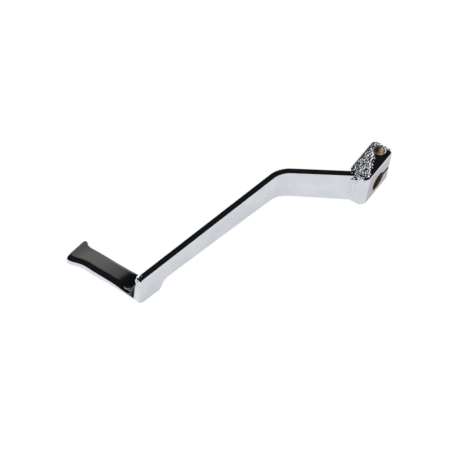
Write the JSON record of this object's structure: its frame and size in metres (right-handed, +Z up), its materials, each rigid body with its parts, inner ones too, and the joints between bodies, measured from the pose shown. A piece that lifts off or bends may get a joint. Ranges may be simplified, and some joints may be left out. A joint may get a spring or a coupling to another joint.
{
  "type": "gear shift lever",
  "caption": "Chromed motorcycle gear shift lever: bent flat-bar arm, split splined clamp boss with pinch-bolt hole, and a toe tread on a drooping root.",
  "frame": {"origin": "on the spline bore's axis, at the clamp boss's mid thickness", "axes": "+X from the toe end towards the clamp's split end, +Y outboard, the side the toe tread sticks out on, +Z up; the gear shaft comes in from -Y"},
  "size_m": [0.1541, 0.099, 0.0226],
  "materials": {
    "arm_chrome": "polished",
    "boss_chrome": "plated over a rough forged top, bare in the bore",
    "tread_chrome": "satin polished",
    "weld_chrome": "plated over weld metal"
  },
  "bodies": {
    "root": {"arm_bar": "arm_chrome", "clamp_boss": "boss_chrome", "toe_tread": "tread_chrome", "boss_weld_inboard": "weld_chrome", "boss_weld_outboard": "weld_chrome", "toe_weld_crest": "weld_chrome", "toe_weld_root": "weld_chrome"}
  },
  "joints": []
}
